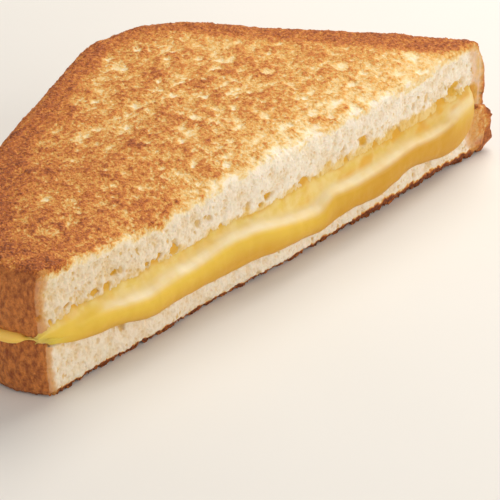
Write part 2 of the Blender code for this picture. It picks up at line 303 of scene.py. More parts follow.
def toastPattern(points, behindCut, crustAway, medium, fine, seed):
    # relief and browning: a bumpy grain with small hollows that stayed pale
    x = points[:, 0]
    nearest, second, lots = cellNoise(points, toast["grain"], seed + 20)
    ridge = fadeOut(0.0, 0.5, second - nearest)
    spot = paleSpots(points, toast["spotSpacing"], 0.12, 0.30, seed + 32)[0]
    bend = 1.0 + 0.35 * cloudNoise(points, 3.0 * mm, seed + 35)
    blob, ring = paleSpots(points, toast["blobSpacing"], 0.11, 0.35, seed + 34, bend)
    broad = cloudNoise(points, toast["wave"], seed + 22)
    patches = cloudNoise(points, toast["patches"], seed + 24, (1.4, 0.9, 1.0), 3)
    rightward = smoothStep(-45 * mm, 25 * mm, x)
    pale = 0.85 * smoothStep(0.16 - 0.16 * rightward, 1.05 - 0.20 * rightward, patches + 0.12 * fine)
    pale = np.maximum(pale, (0.70 + 0.25 * rightward) * spot)
    pale = np.maximum(pale, (0.55 + 0.35 * rightward) * blob)
    pale *= smoothStep(3.5 * mm, 6.0 * mm, crustAway)
    relief = toast["grainDepth"] * (ridge - 0.5) + toast["bumpDepth"] * medium
    relief += toast["fineDepth"] * fine + toast["waveDepth"] * broad - toast["spotDepth"] * pale

    # browner towards the left, even towards the right, with a dark rim along the crust
    leftward = smoothStep(5 * mm, -62 * mm, x)
    nearCut = fadeOut(2 * mm, 16 * mm, behindCut)
    even = 1.0 - 0.40 * smoothStep(-5 * mm, 55 * mm, x)
    speckle = 0.13 * broad + 0.20 * medium + 0.12 * (ridge - 0.4) + 0.16 * fine
    speckle += 0.14 * ring - 0.40 * (pale - 0.20)
    level = toast["browning"] + toast["leftBrowner"] * leftward
    level = level - toast["cutPaler"] * nearCut * (1.0 - leftward) + even * speckle
    rimStart = toast["rimWide"] + (1.6 * smoothStep(20 * mm, 45 * mm, x) + 2.0 * leftward) * mm
    rim = fadeOut(rimStart, rimStart + toast["rimWide"], crustAway + 1.4 * (medium + broad) * mm)
    rimLevel = toast["rimBrowning"] + 0.02 * leftward + 0.14 * medium + 0.08 * fine
    browning = np.clip(level, 0.10, 0.82) * (1.0 - rim) + rimLevel * rim

    # the toast begins behind the cut along a wandering line, in mm
    wander = 2.2 * cloudNoise(points, 7.0 * mm, seed + 29) + 0.9 * medium + 0.5 * fine
    wander -= smoothStep(-45 * mm, -30 * mm, x) * fadeOut(-2 * mm, 8 * mm, x)
    wander += 3.0 * fadeOut(-64 * mm, -56 * mm, x)
    half = toast["edgeHalf"]
    edgeFade = smoothStep(-half, half, behindCut + wander * mm)
    return relief, browning * (toast["edgeLeast"] + (1.0 - toast["edgeLeast"]) * edgeFade)


# the two slices of bread

bread = {
    "meshStep": 0.47 * mm,      # on the toast, half of it on the cut
    "softening": 6,             # rounds the corners of the cut and of the toast
    "cutBand": 1.1 * mm,        # how deep behind the cut face the fine mesh goes
    "thinnedOut": 0.95,         # of the face against the cheese
    "skin": 0.9 * mm,           # how deep the browning goes at the cut
    "crustSkin": 2.1 * mm,
    "crustGrain": 0.9 * mm,
    "crustGrainDepth": 0.09 * mm,
    "crustWave": 5.0 * mm,
    "crustWaveDepth": 0.12 * mm,
    "pressedDown": 1.3 * mm,    # the knife has pushed the edge of the toast down by this
    "tornUp": 1.4 * mm,         # how high the lower edge of the cut is torn
    "tornIn": 0.6 * mm,
    "lumpUpper": 2.0 * mm,      # how far the crust stands out at the right end
    "lumpLower": 2.1 * mm,
}

# how far the crust of each slice swells over the bead of cheese, more at the left corner, and
# how far it closes at the right end; how much darker its crumb gets to the left, partly a tan tone and
# partly painted shade where less light reaches
lips = {
    "upperToast": {"along": -0.7 * mm, "corner": 1.8 * mm, "end": 3.0 * mm, "shade": 0.30},
    "lowerToast": {"along": 2.0 * mm, "corner": 2.0 * mm, "end": 1.1 * mm, "shade": 0.12},
}


def slicePiece(node, name, side, cutY):
    # an even mesh of the solid, finer on the cut
    piece = copyOfNode(node, name)
    remesh = piece.modifiers.new("even mesh", "REMESH")
    remesh.mode = "VOXEL"
    remesh.voxel_size = bread["meshStep"]
    soften = piece.modifiers.new("soften", "SMOOTH")
    soften.iterations = bread["softening"]
    applyModifiers(piece)

    # the face against the cheese can't be seen, so it keeps only a few faces
    points, normals = readVectors(piece.data), readVectors(piece.data, "normal")
    hidden = (normals[:, 2] * side < -0.9) & (points[:, 1] > cutY + 4 * mm)
    thin = piece.vertex_groups.new(name="hidden")
    thin.add(np.nonzero(hidden)[0].tolist(), 1.0, "REPLACE")
    fewer = piece.modifiers.new("fewer faces", "DECIMATE")
    fewer.vertex_group = "hidden"
    fewer.ratio = 1.0 - bread["thinnedOut"] * hidden.mean()
    applyModifiers(piece)
    piece.vertex_groups.clear()
    subdivideWhere(piece, readVectors(piece.data)[:, 1] < cutY + bread["cutBand"])
    return piece


def cutProfile(cut):
    # the lowest and highest point of the cut, every millimetre along it
    stops = np.arange(cut[:, 0].min(), cut[:, 0].max(), 1.0 * mm)
    slots = np.clip(((cut[:, 0] - stops[0]) / mm).astype(int), 0, len(stops) - 1)
    tops = np.full(len(stops), -1.0)
    lows = np.full(len(stops), 1.0)
    np.maximum.at(tops, slots, cut[:, 2])
    np.minimum.at(lows, slots, cut[:, 2])
    return stops, lows, tops


def makeSlice(node, name, seed, toastUp):
    side = 1.0 if toastUp else -1.0
    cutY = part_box(node)[0].y + 0.45 * mm
    piece = slicePiece(node, name, side, cutY)
    mesh = piece.data
    points, normals = readVectors(mesh), readVectors(mesh, "normal")
    x, y, z = points.T      # these follow the points when they move

    onCut = smoothStep(0.35, 0.75, -normals[:, 1]) * (y < cutY + 2.0 * mm)
    upward = normals[:, 2] * side
    outside = (1.0 - onCut) * fadeOut(0.4, 0.8, -upward)
    onToast = outside * smoothStep(0.35, 0.85, upward)
    onCrust = outside - onToast
    stops, lows, tops = cutProfile(points[y < cutY + 1.2 * mm])

    def heights(place):
        return np.interp(place, stops, lows), np.interp(place, stops, tops)

    lowZ, topZ = heights(x)
    skinDepth = (topZ - z) if toastUp else (z - lowZ)
    isCrust = (onCrust > 0.8) & (y > cutY + 1.0 * mm)
    crustAway = distanceTo(points[isCrust], points)
    flatten = np.array([1.0, 0.0, 1.0])
    endAway = distanceTo(points[isCrust & (y < cutY + 3.5 * mm)] * flatten, points * flatten)

    medium = cloudNoise(points, toast["bumps"], seed + 21)
    fine = cloudNoise(points, toast["fine"], seed + 23)
    toastRelief, browning = toastPattern(points, y - cutY, crustAway, medium, fine, seed)
    if not toastUp:
        # partly real browning, partly painted shade along the lower edge of the cut
        browning = toast["under"] + 0.16 * medium

    # at the cut the brown of the toast and of the crust fades into the crumb
    ragged = 0.7 * cloudNoise(points, 2.0 * mm, seed + 25) + 0.35 * fine
    if toastUp:
        skinReach = bread["skin"] * (1.55 + 0.5 * cloudNoise(points, 7.0 * mm, seed + 30))
        endSkin = bread["crustSkin"] * (1.0 - 0.25 * smoothStep(50 * mm, 64 * mm, x))
        # the tip at the right has lost part of its crust
        rightEnd = x.max()
        tip = 0.5 * smoothStep(rightEnd - 5 * mm, rightEnd - 2 * mm, x) * fadeOut(3 * mm, 6 * mm, y - cutY)
    else:
        # the dark lower band widens to the right, partly as painted shade
        skinReach = bread["skin"] * (1.05 + 1.1 * smoothStep(5 * mm, 40 * mm, x))
        thickEnd = smoothStep(57 * mm, 67 * mm, x) * smoothStep(0.5 * mm, 5 * mm, z)
        endSkin = bread["crustSkin"] * (0.80 + 1.1 * thickEnd)
        tip = 0.0
    skin = fadeOut(0.0, 1.0, (skinDepth + ragged * mm) / (2.3 * skinReach))
    if not toastUp:
        skin = smoothStep(0.2, 0.7, skin)
    toasting = browning * limit(outside + (1.0 - outside) * onCut * skin)
    crustEdge = fadeOut(0.0, 1.0, (endAway + 0.6 * ragged * mm) / (1.9 * endSkin))
    inside = (1.0 - onCut) * (1.0 - outside) * fadeOut(1.5 * mm, 3.5 * mm, crustAway)
    crust = limit(onCrust + inside + onCut * crustEdge * (1.0 - 0.5 * skin)) * (1.0 - tip)
    # a lighter border between the crust and the crumb
    crustRim = 1.6 * (1.0 - (1.0 - crustEdge) ** 4) * (1.0 - crustEdge) * onCut * (1.0 - tip)
    # partly painted shade: the crumb of the cut darker towards the left, added to the hollow tone
    shade = lips[name]["shade"] * smoothStep(5 * mm, -62 * mm, x) * onCut
    if toastUp:
        # at the right end of the cut the crust is paler, with cheese in it
        strip = smoothStep(68.5 * mm, 71 * mm, x + 0.8 * ragged * mm)
        strip *= smoothStep(20 * mm, 23 * mm, z) * onCut
        crust *= 1.0 - 0.4 * strip

    area = (stops[-1] - stops[0]) * (tops - lows).mean() / mm ** 2
    inCut = onCut > 0.02
    depth, hollow, golden = np.zeros((3, len(points)))
    depth[inCut], hollow[inCut], golden[inCut] = crumbRelief(points[inCut], heights, seed, area, toastUp)
    nearCrust = smoothStep(0.6 * mm, 2.2 * mm, endAway)
    depth *= onCut * (1.0 - 0.75 * skin) * nearCrust
    hollow *= onCut * (1.0 - skin) * nearCrust

    crustGrain = cloudNoise(points, bread["crustGrain"], seed + 26, (1.0, 1.0, 1.7))
    crustWave = cloudNoise(points, bread["crustWave"], seed + 27)
    crustRelief = bread["crustGrainDepth"] * crustGrain + bread["crustWaveDepth"] * crustWave
    atEnd = smoothStep(64 * mm, 70 * mm, x)
    if toastUp:
        crustRelief += bread["lumpUpper"] * atEnd * (1.0 - 0.8 * smoothStep(23 * mm, 30 * mm, z))
    else:
        # ragged knobs, browned in patches
        rounded = smoothStep(0.0, 3.5 * mm, z) * fadeOut(8.0 * mm, 12.5 * mm, z)
        knobs = 0.8 * cloudNoise(points, 2.6 * mm, seed + 31)
        knobs += 0.5 * cloudNoise(points, 1.3 * mm, seed + 33)
        crustRelief += atEnd * rounded * (bread["lumpLower"] + knobs * mm)
        patchy = atEnd * smoothStep(3 * mm, 6 * mm, z) * np.maximum(crust, 1.0 - onCut)
        crust *= 1.0 - 0.75 * patchy
        toasting = np.maximum(toasting, patchy * (0.46 + 0.22 * medium + 0.12 * fine))
    push = onToast * toastRelief + onCrust * crustRelief + onCut * skin * 0.16 * mm * medium
    points += normals * push[:, None]
    y += depth

    # the crust swells a little over the bead of cheese
    cheeseSide = (z - lowZ) if toastUp else (topZ - z)
    lip = lips[name]
    lipOver = lip["along"] * fadeOut(50 * mm, 64 * mm, x)
    lipOver += lip["corner"] * fadeOut(1.0 * mm, 5.0 * mm, np.hypot(x - stops[0], y - cutY))
    if not toastUp:
        lipOver += 0.5 * mm * fadeOut(-60 * mm, -30 * mm, x)
    lipShare = np.maximum(onCrust, onCut * fadeOut(-72 * mm, -67 * mm, x))
    z -= side * lipOver * lipShare * fadeOut(0.2 * mm, 4.0 * mm, cheeseSide)
    z -= side * lip["end"] * smoothStep(63 * mm, 71 * mm, x) * fadeOut(0.5 * mm, 5.0 * mm, cheeseSide)
    if toastUp:
        pressed = 1.0 - 0.5 * smoothStep(48 * mm, 66 * mm, np.abs(x))
        pressed *= fadeOut(-1.0 * mm, 7.0 * mm, y - cutY) * smoothStep(20 * mm, 32 * mm, z)
        z -= bread["pressedDown"] * pressed
    else:
        # the knife tore the lower edge
        bites = smoothStep(-0.3, 0.8, cloudNoise(points, 1.9 * mm, seed + 28, (1.0, 2.0, 2.0), 4))
        nearEdge = fadeOut(0.6 * mm, 2.6 * mm, y - cutY) * fadeOut(0.0, 2.2 * mm, z)
        z += bread["tornUp"] * bites * nearEdge
        y += bread["tornIn"] * (1.0 - bites) * nearEdge * onCut
    z[:] = np.maximum(z, 0.02 * mm)
    writeVectors(mesh, points)

    # what the cheese has soaked: a ragged border above it, and the wide hollows
    reach = (0.9 + 2.0 * smoothStep(-5 * mm, 40 * mm, x)) * mm if toastUp else 0.3 * mm
    soaked = cheeseSide + (1.5 * medium + 1.2 * ragged) * mm - reach
    stain = onCut * fadeOut(-0.4 * mm, 1.6 * mm, soaked) * (0.75 + 0.25 * hollow)
    stain = np.maximum(stain if toastUp else 0.2 * stain, onCut * golden * (1.0 - skin))
    if toastUp:
        stain = np.maximum(stain, 0.8 * strip)
    writeShare(mesh, "toasting", toasting)
    writeShare(mesh, "crust", crust)
    writeShare(mesh, "crustRim", limit(crustRim))
    # the hollow tone carries painted shade in the deeper crumb and towards the left
    writeShare(mesh, "hollow", limit(hollow + shade))
    writeShare(mesh, "stain", stain)
    smoothShade(piece)
    print(name, "made with", len(mesh.polygons), "faces")
    return piece


upperSlice = makeSlice("upper_bread_slice", "upperToast", 11, True)
lowerSlice = makeSlice("lower_bread_slice", "lowerToast", 47, False)


# the melted cheese

cheese = {
    # how the cheese has run out along the cut, in mm: place, top of the thin film on the
    # upper slice, crest of the roll, lowest edge, how far the roll stands out
    "run": [
        (-71, 17.0, 15.5, 15.2, 0.1),
        (-66, 17.6, 15.5, 13.0, 1.0),
        (-60, 18.0, 15.5, 11.0, 2.0),
        (-54, 18.1, 16.0, 10.5, 3.0),
        (-47, 18.2, 14.8, 9.8, 3.6),
        (-41, 17.6, 14.2, 8.0, 4.0),
        (-33, 17.8, 15.0, 8.6, 4.0),
        (-26, 17.4, 14.8, 8.1, 3.8),
        (-16, 18.4, 15.8, 7.7, 3.6),
        (-8, 17.6, 15.4, 7.6, 3.8),
        (-1, 17.3, 13.8, 6.8, 4.0),
        (5, 17.3, 12.6, 6.9, 4.1),
        (11, 17.1, 11.6, 6.0, 4.1),
        (15, 17.5, 14.4, 6.3, 3.9),
        (22, 17.0, 13.4, 7.3, 3.9),
        (32, 16.6, 14.0, 6.2, 3.9),
        (38, 16.8, 14.4, 8.0, 3.6),
        (43, 16.9, 14.8, 9.0, 3.5),
        (50, 16.8, 14.0, 7.6, 3.5),
        (57, 17.3, 13.8, 6.1, 3.2),
        (62, 18.1, 16.0, 6.3, 2.8),
        (66, 19.2, 16.9, 8.0, 1.9),
        (69, 20.0, 17.3, 12.0, 0.7),
        (72, 20.4, 17.4, 14.0, 0.2),
    ],
    "cutSpacing": 0.42 * mm,    # of the points along the cut
    "crustSpacing": 0.9 * mm,
    "perSpan": 2,               # points between two of the section's own points
    "sheetInset": 2.2 * mm,     # where the section ends, between the slices
    "gapFrom": 1.6 * mm,        # how far inside the edge the gap between the slices is taken
    "sunkIn": 0.15 * mm,        # how far the cheese goes into both slices
    "beadOut": 1.1 * mm,        # how far the bead along the crust stands out
    "beadFlatness": 0.4,
    "foldDepth": 0.16 * mm,
    "dimple": 0.10 * mm,
    "crestWander": 0.15 * mm,
    "filmWander": 0.9 * mm,
    "filmLeast": 1.9 * mm,      # the film ends at least this far above the crest
    "reachWander": 0.08,
    "startLength": 7.0 * mm,    # over which the bead of the crust opens into the roll
    "endInset": 4.6 * mm,       # how far the cheese stays behind the tip of the sandwich
}


def levelLoop(node, height):
    # the outline of a solid where a level plane cuts it, counter-clockwise
    skin = bmesh.new()
    skin.from_mesh(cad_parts[node].data)
    bmesh.ops.remove_doubles(skin, verts=skin.verts, dist=0.01 * mm)
    everything = list(skin.verts) + list(skin.edges) + list(skin.faces)
    made = bmesh.ops.bisect_plane(skin, geom=everything, plane_co=(0, 0, height), plane_no=(0, 0, 1))
    joined = {}
    for edge in made["geom_cut"]:
        if isinstance(edge, bmesh.types.BMEdge):
            first, second = edge.verts
            joined.setdefault(first, []).append(second)
            joined.setdefault(second, []).append(first)
    start = next(iter(joined))
    loop = [start]
    before, here = start, joined[start][0]
    while here != start:
        loop.append(here)
        before, here = here, next(v for v in joined[here] if v != before)
    points = np.array([v.co[:2] for v in loop])
    skin.free()
    onward = np.roll(points, -1, axis=0)
    turned = (points[:, 0] * onward[:, 1] - points[:, 1] * onward[:, 0]).sum()
    return points if turned > 0 else points[::-1]


def evenLine(points, spacing):
    # the same open line with its points about that far apart
    steps = np.hypot(*np.diff(points, axis=0).T)
    along = np.concatenate([[0.0], np.cumsum(steps)])
    wanted = np.linspace(0.0, along[-1], max(2, round(along[-1] / spacing)) + 1)
    return np.column_stack([np.interp(wanted, along, points[:, i]) for i in range(2)])


def roundLine(knots, perSpan):
    # a smooth curve through the knots, which are arrays of one value per column
    padded = [2 * knots[0] - knots[1]] + knots + [2 * knots[-1] - knots[-2]]
    curve = []
    for a, b, c, d in zip(padded, padded[1:], padded[2:], padded[3:]):
        for step in range(perSpan):
            t = step / perSpan
            curve.append(0.5 * (2 * b + (c - a) * t + (2 * a - 5 * b + 4 * c - d) * t ** 2
                                + (3 * b - a - 3 * c + d) * t ** 3))
    return curve + [knots[-1]]


def slidingMean(values, width):
    # of a closed row of values
    window = np.ones(width) / width
    longer = np.concatenate([values[-width:], values, values[:width]])
    return np.convolve(longer, window, "same")[width:-width]


def cheesePath(middleZ):
    # the line that the edge of the cheese follows, first along the crust and then along the cut,
    # how far each point belongs to the cut, and the number of points along the crust
    breadLoop = levelLoop("upper_bread_slice", middleZ + 5 * mm)
    cutY = breadLoop[:, 1].min() + 0.5 * mm
    face = breadLoop[breadLoop[:, 1] < cutY + 0.6 * mm]
    face = face[np.argsort(face[:, 0])]
    loop = levelLoop("melted_cheese", middleZ)
    isCrust = loop[:, 1] > cutY + 0.7 * mm
    start = np.nonzero(isCrust & ~np.roll(isCrust, 1))[0][0]
    crust = evenLine(np.roll(loop, -start, axis=0)[:isCrust.sum()], cheese["crustSpacing"])
    ends = np.array([[crust[-1, 0], cutY], [crust[0, 0], cutY]])
    cut = evenLine(ends, cheese["cutSpacing"])
    cut[:, 1] = np.interp(cut[:, 0], face[:, 0], face[:, 1])
    path = np.vstack([crust, cut])
    x = path[:, 0]
    x -= cheese["endInset"] * smoothStep(58 * mm, 72 * mm, x)
    onCut = slidingMean(np.concatenate([np.zeros(len(crust)), np.ones(len(cut))]), 5)
    onCut *= smoothStep(-0.5 * mm, cheese["startLength"], x - x.min())
    return path, onCut, len(crust)


def awayFrom(path, corner):
    return np.hypot(*(path - corner).T)


def gapAlong(path, out, middleZ, corners):
    # where the lower slice ends and the upper one starts, just inside the path
    lower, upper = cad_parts["lower_bread_slice"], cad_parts["upper_bread_slice"]
    floorZ, roofZ = np.full((2, len(path)), np.nan)
    for number, (x, y) in enumerate((path - out * cheese["gapFrom"]).tolist()):
        under = lower.ray_cast((x, y, middleZ), (0, 0, -1))
        over = upper.ray_cast((x, y, middleZ), (0, 0, 1))
        if under[0] and over[0]:
            floorZ[number], roofZ[number] = under[1].z, over[1].z
    # near the corners the slices are rounded, so the gap is taken from beside them
    fromCorner = np.minimum(*(awayFrom(path, corner) for corner in corners))
    found = ~np.isnan(floorZ) & (fromCorner > 4.0 * mm)
    order = np.arange(len(path))
    floorZ = slidingMean(np.interp(order, order[found], floorZ[found]), 9) + cheese["sunkIn"]
    roofZ = slidingMean(np.interp(order, order[found], roofZ[found]), 9) - cheese["sunkIn"]
    return floorZ, roofZ


def runAlong(path):
    # the values of the run at each point of the path, with some chance in them
    run = np.array(cheese["run"]) * mm
    stops = np.linspace(run[0, 0], run[-1, 0], 200)
    values = []
    for column in range(1, 5):
        padded = np.pad(np.interp(stops, run[:, 0], run[:, column]), 3, "edge")
        values.append(np.interp(path[:, 0], stops, np.convolve(padded, np.ones(7) / 7, "valid")))
    film, crest, edge, reach = values
    places = np.column_stack([path, np.zeros(len(path))])
    crest = crest + cheese["crestWander"] * cloudNoise(places, 5.0 * mm, 4)
    wander = cloudNoise(places, 2.6 * mm, 3) + 0.6 * cloudNoise(places, 8.0 * mm, 13)
    film = np.maximum(film + cheese["filmWander"] * wander, crest + cheese["filmLeast"])
    blotchy = 0.5 + 1.2 * cloudNoise(places, 4.0 * mm, 14)
    blotchy *= smoothStep(-25 * mm, 15 * mm, path[:, 0]) * fadeOut(55 * mm, 62 * mm, path[:, 0])
    film = film + blotchy * mm
    reach = reach * (1.0 + cheese["reachWander"] * cloudNoise(places, 9.0 * mm, 6))
    return film, crest, edge, reach


def lipSection(film, crest, edge, reach, floorZ, roofZ):
    # how far out and how high each point of the section on the cut is
    zero = np.zeros(len(film))
    inset = zero - cheese["sheetInset"]
    begin = np.maximum(floorZ, edge + 0.3 * mm)
    return [
        (inset, floorZ),
        (zero - 0.6 * mm, begin),
        (zero + 0.25 * mm, begin - 0.3 * mm),
        (zero + 0.35 * mm, edge + 1.6 * mm),
        (0.18 * reach, edge + 0.5 * mm),
        (0.42 * reach, edge),                       # lowest
        (0.74 * reach, edge + 0.45 * mm),
        (0.93 * reach, edge + 1.7 * mm),
        (1.00 * reach, 0.5 * (edge + crest) + 0.3 * mm),
        (0.97 * reach, crest - 1.0 * mm),
        (0.82 * reach, crest - 0.05 * mm),          # crest of the roll
        (0.45 * reach + 0.2 * mm, crest + 0.65 * mm),
        (0.14 * reach + 0.4 * mm, crest + 1.3 * mm),
        (zero + 0.42 * mm, 0.5 * (crest + 1.3 * mm) + 0.5 * film),
        (zero + 0.12 * mm, film),                   # soaks into the crumb
        (zero - 0.25 * mm, film + 1.0 * mm),
        (zero - 0.65 * mm, film + 2.3 * mm),        # what fills the pores above it
        (zero - 1.05 * mm, film + 3.6 * mm),
        (zero - 1.30 * mm, roofZ + 1.0 * mm),
        (zero - 1.30 * mm, roofZ),
        (inset, roofZ),
    ]


def sweptPiece(name, path, out, outward, heights):
    # the closed skin over all sections, with a flat end above and below
    rows, columns = outward.shape
    places = np.empty((rows, columns, 3))
    places[:, :, :2] = path[None] + out[None] * outward[:, :, None]
    places[:, :, 2] = heights
    corners = np.arange(rows * columns).reshape(rows, columns)
    following = np.roll(corners, -1, axis=1)
    quads = np.stack([corners[:-1], following[:-1], following[1:], corners[1:]], axis=-1)
    faces = quads.reshape(-1, 4).tolist() + [corners[0, ::-1].tolist(), corners[-1].tolist()]
    mesh = bpy.data.meshes.new(name)
    mesh.from_pydata(places.reshape(-1, 3).tolist(), [], faces)
    mesh.update()
    skin = bmesh.new()
    skin.from_mesh(mesh)
    bmesh.ops.triangulate(skin, faces=[f for f in skin.faces if len(f.verts) > 4])
    skin.to_mesh(mesh)
    skin.free()
    piece = bpy.data.objects.new(name, mesh)
    bpy.context.scene.collection.objects.link(piece)
    return piece


def makeCheese(name):
    middleZ = (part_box("lower_bread_slice")[1].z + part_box("upper_bread_slice")[0].z) / 2
    path, onCut, crustPoints = cheesePath(middleZ)
    x = path[:, 0]
    rightCorner, leftCorner = path[0], path[crustPoints]
    along = np.roll(path, -2, axis=0) - np.roll(path, 2, axis=0)
    out = np.column_stack([along[:, 1], -along[:, 0]])
    out /= np.hypot(*out.T)[:, None]
    floorZ, roofZ = gapAlong(path, out, middleZ, (rightCorner, leftCorner))
    film, crest, edge, reach = runAlong(path)

    # the bead of the crust is thinner than the sheet, the lower crust swells over it,
    # and it is nearly gone at the left corner, where the slices meet
    swollen = fadeOut(50 * mm, 64 * mm, x)
    atCorner = fadeOut(1.0 * mm, 5.0 * mm, awayFrom(path, leftCorner))
    beadFloor = floorZ + (1.6 + 0.5 * fadeOut(-60 * mm, -30 * mm, x)) * mm * swollen + 2.0 * mm * atCorner
    beadRoof = roofZ + 0.6 * mm * swollen - 1.5 * mm * atCorner
    standsOut = cheese["beadOut"] - 1.0 * mm * atCorner
    outward, heights = [], []
    section = lipSection(film, crest, edge, reach, floorZ, roofZ)
    for number, (lipOut, lipZ) in enumerate(section):
        turn = math.pi * (number / (len(section) - 1) - 0.5)
        roundness = max(0.0, math.cos(turn)) ** cheese["beadFlatness"]
        beadOut = (standsOut + cheese["sheetInset"]) * roundness - cheese["sheetInset"]
        beadZ = beadFloor + (beadRoof - beadFloor) * (0.5 + 0.5 * math.sin(turn))
        outward.append(beadOut + (lipOut - beadOut) * onCut)
        heights.append(beadZ + (lipZ - beadZ) * onCut)
    outward = np.array(roundLine(outward, cheese["perSpan"]))
    heights = np.array(roundLine(heights, cheese["perSpan"]))
    piece = sweptPiece(name, path, out, outward, heights)
    mesh = piece.data

    points, normals = readVectors(mesh), readVectors(mesh, "normal")
    show = limit(outward.reshape(-1) / mm + 1.0)
    folds = cloudNoise(points, 5.0 * mm, 7, (2.2, 1.0, 0.45), 2)
    small = cloudNoise(points, 1.6 * mm, 8, (1.5, 1.0, 1.0), 2)
    points += normals * (show * (cheese["foldDepth"] * folds + cheese["dimple"] * small))[:, None]
    points[:, 1] = np.maximum(points[:, 1], cadBox[0].y)
    writeVectors(mesh, points)

    # the looks, a row for each point of the section and a column for each point of the path
    def patches(size, seed, stretch=(1.0, 1.0, 1.0), octaves=3):
        return cloudNoise(points, size, seed, stretch, octaves).reshape(heights.shape)

    filmShare = limit((heights - (crest + 0.9 * mm)) / (1.2 * mm))
    writeShare(mesh, "film", 0.5 + (filmShare - 0.5) * onCut)
    # painted highlight: a paler cream band where the roll turns over, where the soft light from above
    # would shine on it
    fromCrest = heights - (crest + 0.35 * mm)
    fade = np.where(fromCrest > 0, 1.15 * mm, 0.55 * mm) * (1.0 + 1.2 * smoothStep(57 * mm, 64 * mm, x))
    highlightShare = 0.85 + 0.35 * patches(6.0 * mm, 9) + 0.22 * patches(2.0 * mm, 10, (1.6, 1.0, 1.0))
    highlightShare *= smoothStep(-57 * mm, -50 * mm, x) * (1.0 - 0.2 * smoothStep(25 * mm, 45 * mm, x))
    writeShare(mesh, "crest", limit(highlightShare * np.exp(-(fromCrest / fade) ** 2) * onCut))
    # painted shade: the lower side of the roll is darker, where the light from above does not reach
    writeShare(mesh, "under", limit((crest - 1.5 * mm - heights) / (3.5 * mm)) * onCut)
    # deeper golden: the roll towards the right, and patches in the upper part of the film
    rich = 0.85 * smoothStep(-8 * mm, 36 * mm, x) * (1.0 - 0.6 * smoothStep(57 * mm, 63 * mm, x)) * onCut
    aboveCrest = 0.35 * smoothStep(20 * mm, 45 * mm, x)
    writeShare(mesh, "rich", rich * np.where(heights < crest, 1.0, aboveCrest))
    # the bead's tone is partly the cheese's own colour and partly painted light, paler to make up for the
    # shade between the crusts
    writeShare(mesh, "bead", np.tile(1.0 - onCut, len(heights)))
    golden = smoothStep(0.0, 0.4, patches(4.5 * mm, 12, (1.3, 1.0, 0.8), 2))
    golden *= limit((heights - (crest + 1.0 * mm)) / (1.0 * mm))
    golden *= onCut * (0.35 + 0.45 * smoothStep(-5 * mm, 25 * mm, x))
    inPores = limit((heights - (film - 0.2 * mm)) / (1.2 * mm)) * onCut
    writeShare(mesh, "inPores", np.maximum(inPores, golden))
    smoothShade(piece)
    print(name, "made with", len(mesh.polygons), "faces")
    return piece


meltedCheese = makeCheese("meltedCheese")


# materials

def mixColours(tree, share, first, second):
    colours = [c if isinstance(c, bpy.types.NodeSocket) else linearColour(c) for c in (first, second)]
    node = addNode(tree, "ShaderNodeMix", {0: share, 6: colours[0], 7: colours[1]}, data_type="RGBA")
    return node.outputs[2]


def mathOf(tree, operation, *values):
    return addNode(tree, "ShaderNodeMath", dict(enumerate(values)), operation=operation).outputs[0]


def mapOf(tree, value, low, high, to=(0.0, 1.0)):
    # what lies between low and high is spread over the range given by to
    inputs = {"Value": value, "From Min": low, "From Max": high, "To Min": to[0], "To Max": to[1]}
    return addNode(tree, "ShaderNodeMapRange", inputs).outputs[0]


def noiseOf(tree, place, size, detail, roughness=0.5, output="Fac"):
    inputs = {"Vector": place, "Scale": 1 / size, "Detail": detail, "Roughness": roughness}
    return addNode(tree, "ShaderNodeTexNoise", inputs).outputs[output]


def shareOf(tree, name):
    return addNode(tree, "ShaderNodeAttribute", attribute_name=name).outputs["Fac"]


def newMaterial(name):
    material = bpy.data.materials.new(name)
    material.use_nodes = True
    tree = material.node_tree
    place = addNode(tree, "ShaderNodeTexCoord").outputs["Object"]
    return material, tree, tree.nodes["Principled BSDF"], place


toastColours = {
    "crumb": "f8eddb",
    "crumbShade": "ecdabd",
    "crustPale": "d78541",
    "crustDark": "944d25",
    "rimPale": "dda557",        # where the crust fades into the crumb
    "rimDark": "c4742e",
    # painted shade in the crumb's hollows and pores; cheesePore is the stain of cheese in them
    "pore": "dcb772",
    "cheesePore": "d8a032",
    "stain": "e8c260",
}

toastRamp = [               # from the bare crumb to the darkest toast
    (0.0, "f8eddb"),
    (0.14, "f4dba6"),
    (0.36, "e9b35e"),
    (0.55, "db883c"),
    (0.76, "b4612b"),
    (1.0, "783c1c"),
]

breadLook = {
    "cells": 1.0 * mm,          # the walls between the pores of the toast
    "cellBend": 1.3 * mm,
    "cellBendBy": 0.9 * mm,
    "grain": 0.9 * mm,
    "sugar": 0.42 * mm,         # the finest specks
    "fibre": 0.7 * mm,
    "fibreUpright": (1.0, 1.0, 0.65),
    "mottle": 1.1 * mm,         # of the crust
    "crumbBump": 0.22 * mm,
    "toastBump": 0.7 * mm,
    "crumbRoughness": 0.75,
    "toastRoughness": 0.46,
    "specular": 0.25,
    "subsurface": 0.2,
    "subsurfaceRadius": (1.0, 0.6, 0.35),
    "subsurfaceScale": 1.3 * mm,
}


